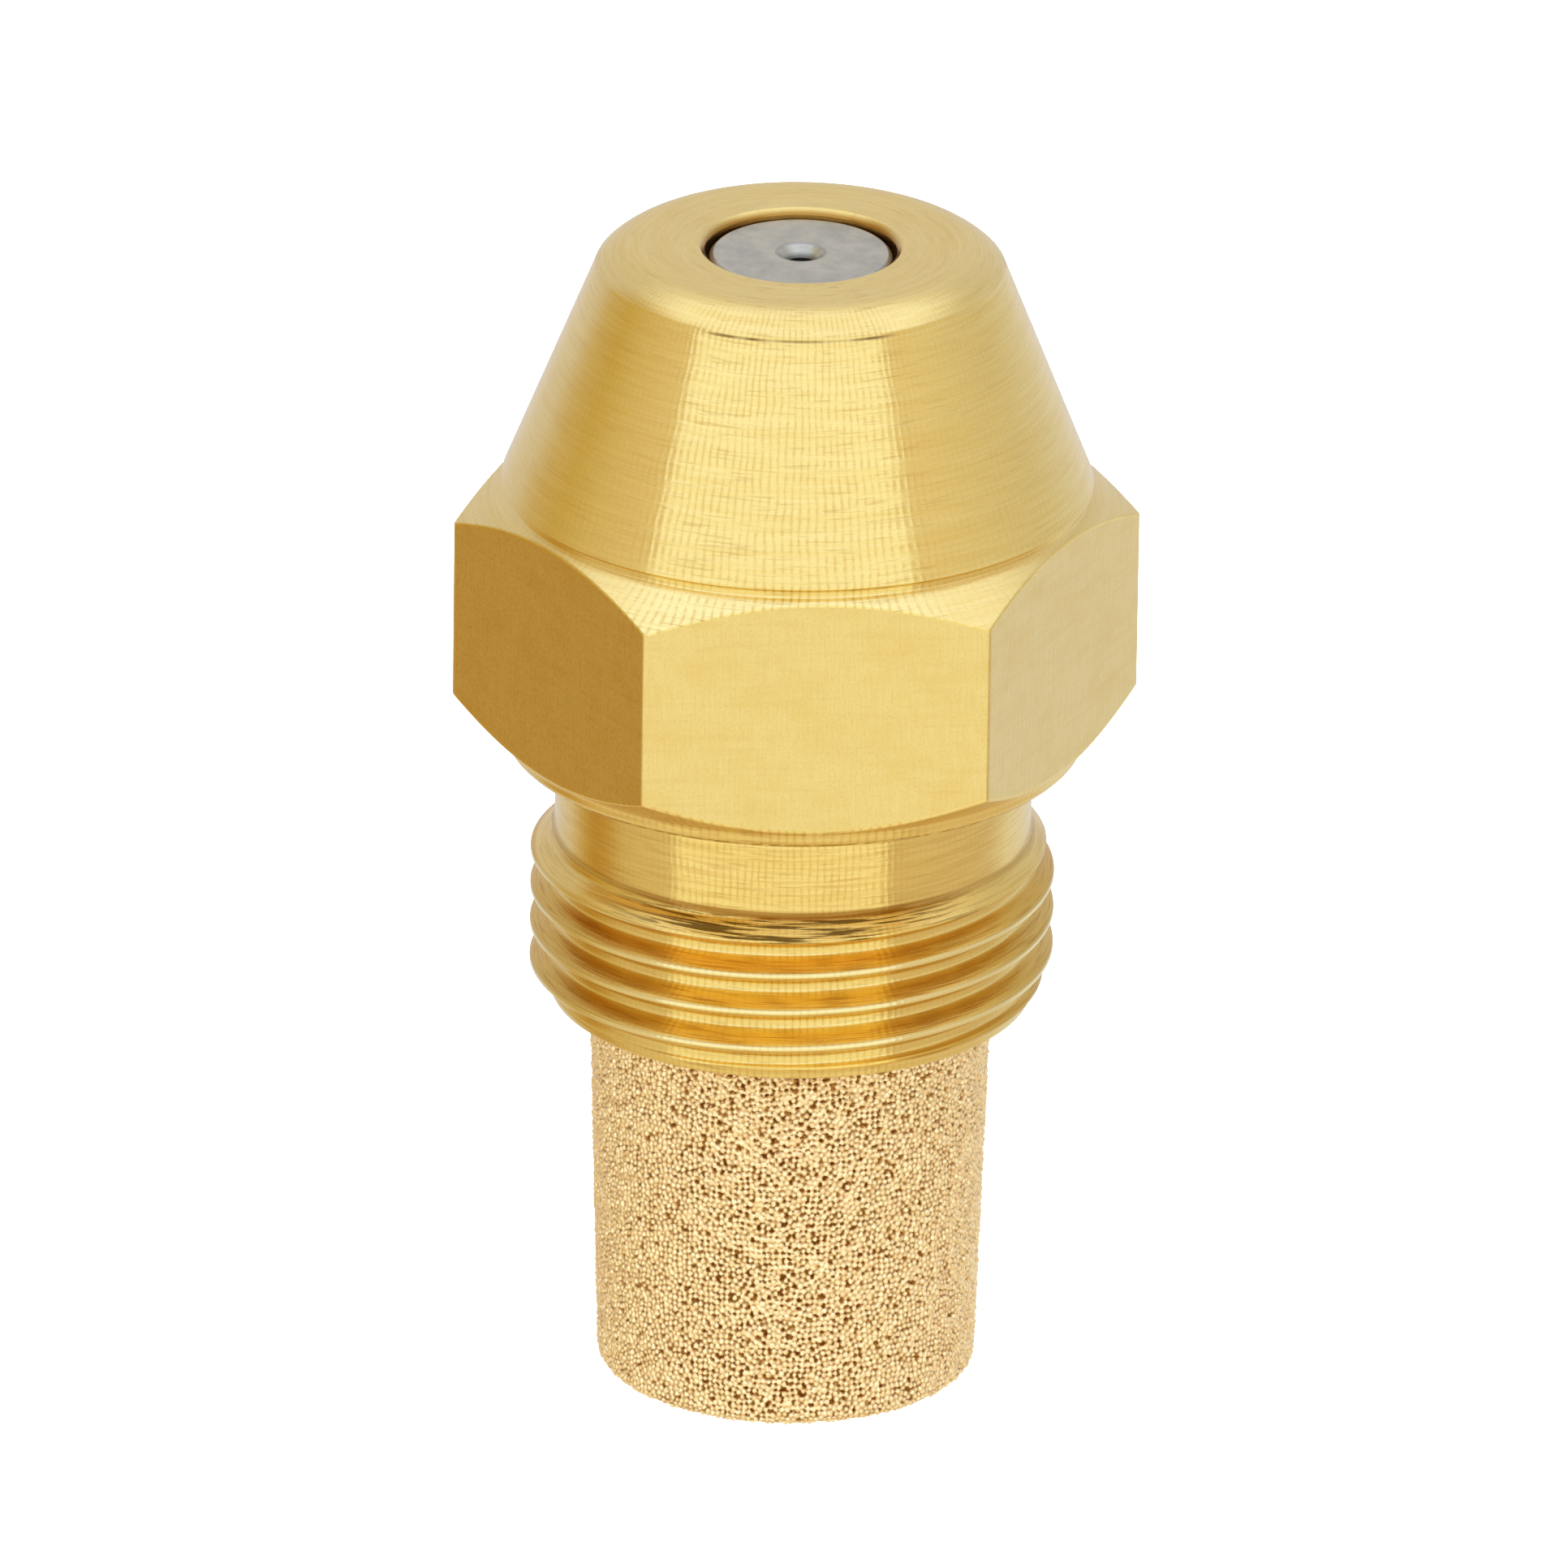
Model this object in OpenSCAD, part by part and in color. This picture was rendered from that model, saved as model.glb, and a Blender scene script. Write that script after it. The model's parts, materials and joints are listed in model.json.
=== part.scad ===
// Oil burner nozzle, standing on its closed filter end with its spray end up.
// Z = 0 is the filter's closed end, and the Z axis is the nozzle's own axis.
// Every length is in millimetres.

/* [Hexagon] */
// Wrench size of the hexagon, across its flats
hex_af = 16; // [15.9:0.05:16.1]
// Height of the hexagon's lower corners
hex_low_z = 19.5; // [19.3:0.01:19.8]
// Height of the hexagon's upper corners
hex_high_z = 24.46; // [24.4:0.01:24.6]

/* [Spray end] */
// Overall height, filter end to front face
total_h = 32.36; // [32.2:0.02:32.6]
// Radius of the flat front face
front_r = 4.22; // [4.1:0.02:4.3]
// Radius of the round between the front face and the cone
front_round_r = 1.717; // [1.65:0.001:1.75]
// Slope of the round where it meets the cone in a faint edge, in degrees
front_round_end = 42; // [38:1:46]
// Half angle of the cone, in degrees
cone_angle = 21.8; // [21:0.1:22]
// Radius of the opening in the front face
opening_r = 2.57; // [2.5:0.01:2.65]
// Thickness of the front lip that holds the orifice disc
lip_t = 1.16; // [1.0:0.02:1.3]

/* [Inlet thread] */
// Major diameter of the inlet thread
thread_d = 14.14; // [14.08:0.02:14.26]
// Pitch of the inlet thread, 24 turns to the inch
thread_pitch = 1.058; // [1.05:0.001:1.065]
// Height of the body's rear end face, which seals in the holder
rear_z = 10.87; // [10.8:0.01:10.95]
// Height where the thread's rear chamfer ends
thread_low_z = 11.65; // [11.55:0.01:11.7]
// Height where the thread's front chamfer starts
thread_high_z = 15.0; // [14.95:0.01:15.1]
// Radius of the plain neck between thread and hexagon
neck_r = 6.42; // [6.3:0.01:6.45]

/* [Bores] */
// Radius of the main bore, which holds the disc, distributor and screw
main_bore_r = 4.0; // [3.95:0.01:4.05]
// Radius of the rear bore, which holds the filter bushing
rear_bore_r = 5.0; // [4.95:0.01:5.05]
// Height of the step between the two bores
bore_step_z = 17; // [16.6:0.1:17.4]
// Radial running clearance of every piece in its bore
running_gap = 0.03; // [0.02:0.005:0.05]

/* [Orifice disc] */
// Radius of the spray orifice
orifice_r = 0.35; // [0.3:0.01:0.4]
// Radius of the countersink around the orifice
pit_r = 0.645; // [0.6:0.005:0.7]
// Depth of the disc's face below the front face
disc_recess = 0.2; // [0.15:0.05:0.3]
// Thickness of the disc's flange behind the lip
disc_flange_t = 3; // [2.8:0.1:3.2]

/* [Swirl distributor] */
// Number of tangential swirl slots
slot_count = 6; // [4:1:6]
// Width of a swirl slot
slot_w = 0.4; // [0.3:0.05:0.45]
// Depth of a swirl slot
slot_depth = 0.35; // [0.3:0.05:0.4]

/* [Lock screw] */
// Width across flats of the socket in the lock screw
socket_af = 3; // [2.5:0.1:3.2]
// Radius of the four cross holes in the lock screw
cross_hole_r = 0.6; // [0.5:0.05:0.65]

/* [Filter] */
// Radius of the filter at its rim
filter_rim_r = 5.455; // [5.4:0.005:5.47]
// Radius of the filter at its closed end
filter_end_r = 5.12; // [5.0:0.01:5.2]
// Thickness of the filter's closed end
filter_floor_t = 1.6; // [1.4:0.1:1.8]
// Radius of the oil way through the filter bushing
oilway_r = 2.2; // [2.0:0.05:2.3]

/* [Hidden] */
$fn = 96;
over = 1;  // how far a cutter runs past the surface it cuts

// Hexagon and cone
hex_r = hex_af / 2 / cos(30);
round_centre_z = total_h - front_round_r;
cone_top_r = front_r + front_round_r * cos(front_round_end);
cone_top_z = round_centre_z + front_round_r * sin(front_round_end);
cone_foot_z = 25.65;
cone_foot_r = cone_top_r + (cone_top_z - cone_foot_z) * tan(cone_angle);
crease_r = cone_foot_r - 0.12;
crease_z = [25.39, 25.57];
shoulder_r = 8;
shoulder_high_z = 25.29;
collar_r = [7.85, 7.8];
collar_z = [18.53, 18.26];
underside_r = 7.64;
underside_z = 18.1;

// Inlet thread: 60 degree grooves with a flat root and a narrow crest
crest_r = thread_d / 2;
thread_depth = 5 / 8 * thread_pitch * cos(30);
root_r = crest_r - thread_depth;
root_half = thread_pitch / 8;
groove_half = root_half + thread_depth * tan(30);
first_root_z = 14.60;
root_count = 4;
neck_foot_z = 15.6;
end_chamfer_r = 6.55;
end_chamfer_z = 11.1;
end_r = 6.5;

// Bores
lip_z = total_h - lip_t;
opening_bevel = 0.15;
rim_seat_r = 5.5;
rim_seat_z = rear_z + 0.5;

// Orifice disc
disc_r = main_bore_r - running_gap;
disc_face_z = total_h - disc_recess;
disc_boss_r = 2.46;
disc_rear_z = lip_z - disc_flange_t;
disc_bevel = 0.12;
seat_r = 2.9;
seat_top_z = disc_rear_z + seat_r - orifice_r;

// Swirl distributor: a 45 degree cone that just clears the seat
seat_gap = 0.02;
tip_r = 0.9;
cone_r = 2.85;
tip_z = seat_top_z + orifice_r - seat_gap - tip_r;
cone_base_z = tip_z - (cone_r - tip_r);
stem_r = 2.1;
stem_top_z = cone_base_z - 1;
foot_r = 3.2;
foot_top_z = 25.4;
foot_z = 24.4;
slot_offset = tip_r - slot_w / 2 - 0.05;
slot_length = 4;

// Lock screw
screw_r = main_bore_r - running_gap;
screw_rear_z = 19.4;
screw_nose_z = 22.6;
nose_r = 2.6;
screw_chamfer = 0.35;
socket_top_z = 21.6;
feed_r = 0.9;
cross_z = 23.4;

// Filter and its bushing
bushing_r = rear_bore_r - running_gap;
bushing_top_z = 15.9;
bushing_chamfer = 0.5;
plug_r = 4.2;
plug_low_z = 7.5;
plug_chamfer = 0.3;
cavity_r = 3.9;
filter_edge_r = 0.35;

// The nozzle body's outline on one side of the axis, up to the end of the cone
module shank_blank() {
    polygon([
        [0, rear_z],
        [end_r, rear_z],
        [end_chamfer_r, end_chamfer_z],
        [crest_r, thread_low_z],
        [crest_r, thread_high_z],
        [neck_r, neck_foot_z],
        [neck_r, underside_z],
        [underside_r, underside_z],
        [collar_r[1], collar_z[1]],
        [collar_r[0], collar_z[0]],
        [hex_r, hex_low_z],
        [hex_r, hex_high_z],
        [shoulder_r, shoulder_high_z],
        [crease_r, crease_z[0]],
        [crease_r, crease_z[1]],
        [cone_foot_r, cone_foot_z],
        [cone_top_r, cone_top_z],
        [0, cone_top_z]
    ]);
}

// The outline of the front face and the round beside it
module nose_blank() {
    translate([0, cone_foot_z]) square([front_r, total_h - cone_foot_z]);
    intersection() {
        translate([front_r, round_centre_z]) circle(r = front_round_r);
        translate([0, cone_top_z]) square([cone_top_r, total_h - cone_top_z]);
    }
}

// One groove of the thread, open beyond the crest
module thread_groove() {
    past = over * tan(30);
    polygon([
        [root_r, -root_half],
        [root_r, root_half],
        [crest_r + over, groove_half + past],
        [crest_r + over, -groove_half - past]
    ]);
}

module body_outline() {
    difference() {
        union() {
            shank_blank();
            nose_blank();
        }
        for (i = [0 : root_count - 1])
            translate([0, first_root_z - i * thread_pitch]) thread_groove();
    }
}

// The stepped hole through the nozzle body, on one side of the axis
module bore_outline() {
    polygon([
        [0, rear_z - over],
        [rim_seat_r, rear_z - over],
        [rim_seat_r, rim_seat_z],
        [rear_bore_r, rim_seat_z],
        [rear_bore_r, bore_step_z],
        [main_bore_r, bore_step_z],
        [main_bore_r, lip_z],
        [opening_r, lip_z],
        [opening_r, total_h - opening_bevel],
        [opening_r + opening_bevel + over, total_h + over],
        [0, total_h + over]
    ]);
}

module nozzle_body() {
    color([0.83, 0.66, 0.30]) difference() {
        intersection() {
            rotate_extrude() body_outline();
            cylinder(r = hex_r, h = total_h, $fn = 6);
        }
        rotate_extrude() bore_outline();
    }
}

module orifice_disc() {
    pit_z = disc_face_z - (pit_r - orifice_r);
    color([0.70, 0.71, 0.73]) rotate_extrude() polygon([
        [pit_r, disc_face_z],
        [orifice_r, pit_z],
        [orifice_r, seat_top_z],
        [seat_r, disc_rear_z],
        [disc_r, disc_rear_z],
        [disc_r, lip_z],
        [disc_boss_r, lip_z],
        [disc_boss_r, disc_face_z - disc_bevel],
        [disc_boss_r - disc_bevel, disc_face_z]
    ]);
}

// One slot along the distributor's cone, beside the axis, running into the tip
module swirl_slot() {
    translate([tip_r, slot_offset, tip_z]) rotate([0, 45, 0])
        translate([-over, -slot_w / 2, -slot_depth])
            cube([slot_length + over, slot_w, slot_depth + over]);
}

module swirl_distributor() {
    color([0.60, 0.61, 0.63]) difference() {
        rotate_extrude() polygon([
            [0, foot_z],
            [foot_r, foot_z],
            [foot_r, foot_top_z],
            [stem_r, foot_top_z],
            [stem_r, stem_top_z],
            [cone_r, stem_top_z],
            [cone_r, cone_base_z],
            [tip_r, tip_z],
            [0, tip_z]
        ]);
        for (i = [0 : slot_count - 1])
            rotate([0, 0, i * 360 / slot_count]) swirl_slot();
    }
}

module lock_screw() {
    color([0.80, 0.62, 0.28]) difference() {
        rotate_extrude() polygon([
            [0, screw_rear_z],
            [screw_r - screw_chamfer, screw_rear_z],
            [screw_r, screw_rear_z + screw_chamfer],
            [screw_r, screw_nose_z - screw_chamfer],
            [screw_r - screw_chamfer, screw_nose_z],
            [nose_r, screw_nose_z],
            [nose_r, foot_z],
            [0, foot_z]
        ]);
        translate([0, 0, screw_rear_z - over])
            cylinder(r = socket_af / 2 / cos(30), h = socket_top_z - screw_rear_z + over, $fn = 6);
        translate([0, 0, screw_rear_z]) cylinder(r = feed_r, h = cross_z - screw_rear_z);
        for (turn = [0, 90])
            translate([0, 0, cross_z]) rotate([0, 90, turn])
                cylinder(r = cross_hole_r, h = 2 * (nose_r + over), center = true);
    }
}

module filter_bushing() {
    color([0.80, 0.62, 0.28]) rotate_extrude() polygon([
        [oilway_r, plug_low_z],
        [plug_r - plug_chamfer, plug_low_z],
        [plug_r, plug_low_z + plug_chamfer],
        [plug_r, rim_seat_z],
        [bushing_r, rim_seat_z],
        [bushing_r, bushing_top_z - bushing_chamfer],
        [bushing_r - bushing_chamfer, bushing_top_z],
        [oilway_r, bushing_top_z]
    ]);
}

module filter_element() {
    color([0.86, 0.70, 0.45]) rotate_extrude() difference() {
        union() {
            polygon([
                [0, 0],
                [filter_end_r - filter_edge_r, 0],
                [filter_end_r, filter_edge_r],
                [filter_rim_r, rim_seat_z],
                [0, rim_seat_z]
            ]);
            translate([filter_end_r - filter_edge_r, filter_edge_r]) circle(r = filter_edge_r);
        }
        polygon([
            [-over, filter_floor_t],
            [cavity_r, filter_floor_t],
            [cavity_r, plug_low_z],
            [plug_r, plug_low_z],
            [plug_r, rim_seat_z + over],
            [-over, rim_seat_z + over]
        ]);
    }
}

nozzle_body();
orifice_disc();
swirl_distributor();
lock_screw();
filter_bushing();
filter_element();
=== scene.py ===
"""Oil burner nozzle: brass body with a cut thread, steel orifice disc and sintered bronze filter."""
import json
import math

import bmesh
import bpy
import numpy as np
from mathutils import Matrix, Vector


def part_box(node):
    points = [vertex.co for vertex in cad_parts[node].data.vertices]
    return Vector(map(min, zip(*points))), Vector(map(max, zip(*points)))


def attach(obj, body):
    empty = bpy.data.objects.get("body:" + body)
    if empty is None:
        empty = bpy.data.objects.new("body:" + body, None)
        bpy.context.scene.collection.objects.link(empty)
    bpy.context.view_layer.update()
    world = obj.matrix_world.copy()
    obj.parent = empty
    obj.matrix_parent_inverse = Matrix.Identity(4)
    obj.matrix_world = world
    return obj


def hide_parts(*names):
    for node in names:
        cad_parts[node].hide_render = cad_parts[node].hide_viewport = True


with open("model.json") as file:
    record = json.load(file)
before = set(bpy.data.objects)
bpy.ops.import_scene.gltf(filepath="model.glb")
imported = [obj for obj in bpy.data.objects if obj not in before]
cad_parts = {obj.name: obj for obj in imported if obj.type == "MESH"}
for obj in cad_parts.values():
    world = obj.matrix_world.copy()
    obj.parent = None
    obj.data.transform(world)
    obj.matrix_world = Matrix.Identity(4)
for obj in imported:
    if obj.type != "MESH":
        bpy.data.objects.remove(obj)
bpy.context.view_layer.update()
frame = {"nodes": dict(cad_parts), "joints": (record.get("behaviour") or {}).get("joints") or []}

MM = 0.001

# Driving sizes in millimetres: the overall ones come from the frame, the rest repeat the design's
body_low, body_high = (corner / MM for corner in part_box("nozzle_body"))
filter_low, filter_high = (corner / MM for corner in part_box("filter_element"))
REAR_Z = body_low.z
TOP_Z = body_high.z
HEX_FLAT = body_high.y
HEX_CORNER = body_high.x
RIM_Z = filter_high.z
RIM_R = filter_high.x


# ---------------------------------------------------------------- camera
VIEW_AZIMUTH = math.radians(-4.1)
VIEW_ELEVATION = math.radians(22.9)
VIEW_ROLL = math.radians(0.8)
VIEW_DISTANCE = 900 * MM
VIEW_WIDTH = 42.13 * MM      # width of the picture at the object
VIEW_AXIS_Z = 21.55 * MM     # point on the axis that the view is set from
VIEW_SHIFT = (-0.316 * MM, -4.457 * MM)


def make_camera():
    """A long lens at the viewing angle, moved sideways and not turned, so the shift stays at zero."""
    data = bpy.data.cameras.new("camera")
    camera = bpy.data.objects.new("camera", data)
    bpy.context.scene.collection.objects.link(camera)
    back = Vector((
        math.sin(VIEW_AZIMUTH) * math.cos(VIEW_ELEVATION),
        -math.cos(VIEW_AZIMUTH) * math.cos(VIEW_ELEVATION),
        math.sin(VIEW_ELEVATION),
    ))
    turn = (-back).to_track_quat("-Z", "Y").to_matrix() @ Matrix.Rotation(VIEW_ROLL, 3, "Z")
    right, up = turn.col[0], turn.col[1]
    target = Vector((0, 0, VIEW_AXIS_Z)) + right * VIEW_SHIFT[0] + up * VIEW_SHIFT[1]
    camera.matrix_world = Matrix.Translation(target + back * VIEW_DISTANCE) @ turn.to_4x4()
    data.sensor_width = 36
    data.lens = data.sensor_width * VIEW_DISTANCE / VIEW_WIDTH
    data.clip_start, data.clip_end = 0.05, 20
    bpy.context.scene.camera = camera


# ---------------------------------------------------------------- outlines and lathe work
def arc(centre, radius, start, end, steps):
    """Points on an arc, from start to end in degrees, measured from the radial direction."""
    angles = np.radians(np.linspace(start, end, steps + 1))
    return [(centre[0] + radius * math.cos(a), centre[1] + radius * math.sin(a)) for a in angles]


def rounded(points, sizes, closed=False):
    """An outline whose corners of stated size are rounded, with one more point beyond each end of a round.
    A point is a pair (radius, height) of numbers or of arrays, one value for each column."""
    out = []
    count = len(points)
    for i, point in enumerate(points):
        size = sizes.get(i, 0)
        ends = not closed and i in (0, count - 1)
        if ends or not size:
            out.append(point)
            continue
        here = np.array(np.broadcast_arrays(*point), float)
        before = np.array(np.broadcast_arrays(*points[i - 1], here[0])[:2], float)
        after = np.array(np.broadcast_arrays(*points[(i + 1) % count], here[0])[:2], float)
        if before.shape != here.shape:
            here = np.array(np.broadcast_arrays(*point, before[0])[:2], float)
        if after.shape != here.shape:
            after = np.array(np.broadcast_arrays(*after, here[0])[:2], float)
        to_before, to_after = before - here, after - here
        long_before, long_after = np.hypot(*to_before), np.hypot(*to_after)
        cut = np.minimum(size, 0.3 * np.minimum(long_before, long_after))
        start, end = here + to_before / long_before * cut, here + to_after / long_after * cut
        out.append(tuple(here + (start - here) * 1.8))
        for t in (0, 0.25, 0.5, 0.75, 1):
            out.append(tuple((1 - t) ** 2 * start + 2 * t * (1 - t) * here + t * t * end))
        out.append(tuple(here + (end - here) * 1.8))
    return out


def mesh_piece(name, vertices, faces, materials, face_material=None):
    """A smooth-shaded mesh object, in metres, from vertices in millimetres. Points that meet are welded."""
    mesh = bpy.data.meshes.new(name)
    mesh.from_pydata((vertices * MM).tolist(), [], faces)
    for material in materials:
        mesh.materials.append(material)
    if face_material is not None:
        mesh.polygons.foreach_set("material_index", np.asarray(face_material, np.int32))
    work = bmesh.new()
    work.from_mesh(mesh)
    bmesh.ops.remove_doubles(work, verts=work.verts, dist=2e-4 * MM)
    bmesh.ops.recalc_face_normals(work, faces=work.faces)
    work.to_mesh(mesh)
    work.free()
    mesh.polygons.foreach_set("use_smooth", np.ones(len(mesh.polygons), bool))
    piece = bpy.data.objects.new(name, mesh)
    bpy.context.scene.collection.objects.link(piece)
    return piece


def ring_faces(rows, columns, closed):
    """Quads between rows of columns. The last column repeats the first, and is welded to it later."""
    last = rows if closed else rows - 1
    j, i = np.meshgrid(np.arange(last), np.arange(columns - 1), indexing="ij")
    up = (j + 1) % rows
    quads = np.stack([j * columns + i, j * columns + i + 1, up * columns + i + 1, up * columns + i], -1)
    return quads.reshape(-1, 4)


def lathe(name, rows, angles, materials, closed=True, row_material=None):
    """A turned piece. Each row is a pair (radius, height) of numbers or of arrays over the angles."""
    columns = len(angles)
    grid = np.empty((len(rows), columns, 3))
    for k, (radius, height) in enumerate(rows):
        grid[k, :, 0] = radius * np.cos(angles)
        grid[k, :, 1] = radius * np.sin(angles)
        grid[k, :, 2] = height
    faces = ring_faces(len(rows), columns, closed)
    face_material = None
    if row_material is not None:
        face_material = np.repeat(row_material[:len(faces) // (columns - 1)], columns - 1)
    return mesh_piece(name, grid.reshape(-1, 3), faces.tolist(), materials, face_material)


# ---------------------------------------------------------------- nozzle body
CORNER_ROUND = 0.12          # round on the hexagon's upright edges
EDGE_SOFT = 0.05             # round on the turned edges
CONE_ANGLE = math.radians(21.8)
FRONT_R, FRONT_ROUND, FRONT_ROUND_END = 4.22, 1.717, 42
CONE_FOOT = (7.953, 25.65)
CREASE_R, CREASE_LOW, CREASE_HIGH = 7.833, 25.39, 25.57
HEX_LOW_Z, HEX_HIGH_Z = 19.5, 24.46
COLLAR_HIGH, COLLAR_LOW = (7.85, 18.53), (7.8, 18.26)
UNDERSIDE = (7.64, 18.1)
NECK_R, NECK_FOOT_Z = 6.42, 15.6
CREST_R, PITCH = 7.07, 1.058
THREAD_LOW_Z, THREAD_HIGH_Z = 11.65, 15.0
END_R, END_CHAMFER = 6.5, (6.55, 11.1)
ROOT_FRONT_Z = 14.60         # height of the highest root, at the front
TOOL_GROOVE = 0.03
OPENING_R, OPENING_BEVEL, LIP_Z = 2.57, 0.15, 31.2
MAIN_BORE_R, REAR_BORE_R, BORE_STEP_Z = 4.0, 5.0, 17.0
RIM_SEAT_R = 5.5


def body_angles():
    """Columns each degree, and closer ones on the rounds of the hexagon's six edges."""
    half_round = CORNER_ROUND * 0.5 / HEX_CORNER
    near = np.linspace(-half_round, half_round, 5)
    corners = np.radians(np.arange(0, 361, 60))
    plain = np.radians(np.arange(0, 361))
    plain = plain[np.min(np.abs(plain[:, None] - corners[None]), axis=1) > 1e-6]
    angles = np.concatenate([plain, (corners[:, None] + near[None]).ravel()])
    angles = np.sort(angles[(angles > -1e-9) & (angles < 2 * math.pi + 1e-9)])
    return angles


def hexagon_radius(angles):
    """Distance from the axis to the hexagon's side, with round corners, at each angle."""
    off_corner = (angles + math.pi / 6) % (math.pi / 3) - math.pi / 6
    flat = HEX_FLAT / np.cos(math.pi / 6 - np.abs(off_corner))
    centre = HEX_CORNER - CORNER_ROUND / math.cos(math.pi / 6)
    reach = np.maximum(CORNER_ROUND ** 2 - (centre * np.sin(off_corner)) ** 2, 0)
    curved = centre * np.cos(off_corner) + np.sqrt(reach)
    on_round = np.abs(off_corner) < CORNER_ROUND * 0.5 / HEX_CORNER
    return np.where(on_round, np.minimum(curved, flat), flat)


def thread_envelope(height):
    """Radius of the blank that the thread is cut in."""
    return np.interp(
        height,
        [REAR_Z, END_CHAMFER[1], THREAD_LOW_Z, THREAD_HIGH_Z, NECK_FOOT_Z],
        [END_R, END_CHAMFER[0], CREST_R, CREST_R, NECK_R],
    )


def thread_rows(angles, low_z, high_z):
    """Rows that climb one pitch in a turn, held between two heights. The crest and root lie on rows."""
    depth = 5 / 8 * PITCH * math.cos(math.pi / 6)
    root_half = PITCH / 8
    groove_half = root_half + depth * math.tan(math.pi / 6)
    soft = 0.025

    def ramp(x):
        return (x + np.sqrt(x * x + soft * soft)) / 2

    half = np.array([0, 0.07, 0.105, 0.13, 0.16, 0.2, 0.26, 0.33, 0.39, 0.43, 0.46, 0.49])
    offsets = np.concatenate([-half[:0:-1], half, [PITCH / 2]])
    front = -math.pi / 2 + VIEW_AZIMUTH
    climb = PITCH * (angles - (front % (2 * math.pi))) / (2 * math.pi)
    rows = []
    first_turn = math.floor((low_z - ROOT_FRONT_Z) / PITCH) - 2
    last_turn = math.ceil((high_z - ROOT_FRONT_Z) / PITCH) + 2
    for turn in range(first_turn, last_turn):
        for offset in offsets:
            height = ROOT_FRONT_Z + turn * PITCH + offset + climb
            if height.max() < low_z or height.min() > high_z:
                continue
            clamped = np.clip(height, low_z, high_z)
            from_root = (clamped - ROOT_FRONT_Z - climb + PITCH / 2) % PITCH - PITCH / 2
            across = np.abs(from_root)
            cut = ramp(across - root_half) - ramp(across - groove_half)
            thread = CREST_R - depth + cut * depth / (groove_half - root_half)
            rows.append((np.minimum(thread, thread_envelope(clamped)), clamped))
    return rows


def body_rows(angles):
    """The body's outline as rows, from the rear end face round the outside and back through the bores.
    Returns the rows and, for each, whether the strip after it is one of the hexagon's flats."""
    ones = np.ones_like(angles)
    side = hexagon_radius(angles)
    top_slope = (CREASE_LOW - HEX_HIGH_Z) / (HEX_CORNER - CREASE_R)
    low_slope = (HEX_LOW_Z - COLLAR_HIGH[1]) / (HEX_CORNER - COLLAR_HIGH[0])
    high_edge = (side, CREASE_LOW - (side - CREASE_R) * top_slope)
    low_edge = (side, HEX_LOW_Z - (HEX_CORNER - side) * low_slope)
    round_centre = (FRONT_R, TOP_Z - FRONT_ROUND)
    nose = arc(round_centre, FRONT_ROUND, FRONT_ROUND_END, 90, 14)
    cone_top = nose[0]

    rear = [(RIM_SEAT_R * ones, REAR_Z * ones), ((END_R - 0.09) * ones, REAR_Z * ones),
            ((END_R - 0.03) * ones, REAR_Z * ones)]
    thread = thread_rows(angles, REAR_Z + 0.03, NECK_FOOT_Z + 0.02)
    neck = rounded([
        (NECK_R * ones, (NECK_FOOT_Z + 0.1) * ones),
        (NECK_R * ones, UNDERSIDE[1] * ones),
        (UNDERSIDE[0] * ones, UNDERSIDE[1] * ones),
        (COLLAR_LOW[0] * ones, COLLAR_LOW[1] * ones),
        (COLLAR_HIGH[0] * ones, COLLAR_HIGH[1] * ones),
        low_edge,
        high_edge,
    ], {1: 0.2, 2: 0.08, 3: 0.08, 4: 0.08, 5: EDGE_SOFT})
    flat_start = len(rear) + len(thread) + len(neck) - 2
    upper = rounded([
        low_edge,
        high_edge,
        (CREASE_R * ones, CREASE_LOW * ones),
        (CREASE_R * ones, CREASE_HIGH * ones),
        (CONE_FOOT[0] * ones, CONE_FOOT[1] * ones),
        (cone_top[0] * ones, cone_top[1] * ones),
    ], {1: EDGE_SOFT, 2: 0.03, 3: 0.03, 4: 0.03})[1:-1]
    cone = []
    for t in (*np.linspace(0.05, 0.97, 16), 0.985, 0.991):
        radius = CONE_FOOT[0] + (cone_top[0] - CONE_FOOT[0]) * t
        height = CONE_FOOT[1] + (cone_top[1] - CONE_FOOT[1]) * t
        cone.append((radius * ones, height * ones))
    # The form tool leaves a fine groove, of uneven depth, where the round meets the cone
    groove = TOOL_GROOVE * (0.7 + 0.3 * np.sin(3 * angles + 1) * np.sin(7 * angles))
    cone.append((cone_top[0] - groove, cone_top[1] * ones))
    nose = [(r * ones, z * ones) for r, z in arc(round_centre, FRONT_ROUND, FRONT_ROUND_END + 1, 90, 14)]
    inside = rounded([
        ((FRONT_R - 0.4) * ones, TOP_Z * ones),
        ((OPENING_R + OPENING_BEVEL) * ones, TOP_Z * ones),
        (OPENING_R * ones, (TOP_Z - OPENING_BEVEL) * ones),
        (OPENING_R * ones, LIP_Z * ones),
        (MAIN_BORE_R * ones, LIP_Z * ones),
        (MAIN_BORE_R * ones, BORE_STEP_Z * ones),
        (REAR_BORE_R * ones, BORE_STEP_Z * ones),
        (REAR_BORE_R * ones, RIM_Z * ones),
        (RIM_SEAT_R * ones, RIM_Z * ones),
        (RIM_SEAT_R * ones, (REAR_Z + 0.05) * ones),
    ], {1: 0.03, 2: 0.03, 3: 0.03, 4: 0.03, 5: 0.03, 6: 0.05, 7: 0.03, 8: 0.03})
    rows = rear + thread + neck[:-1] + upper + cone + nose + inside
    is_flat = np.zeros(len(rows), int)
    is_flat[flat_start] = 1
    return rows, is_flat


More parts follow.
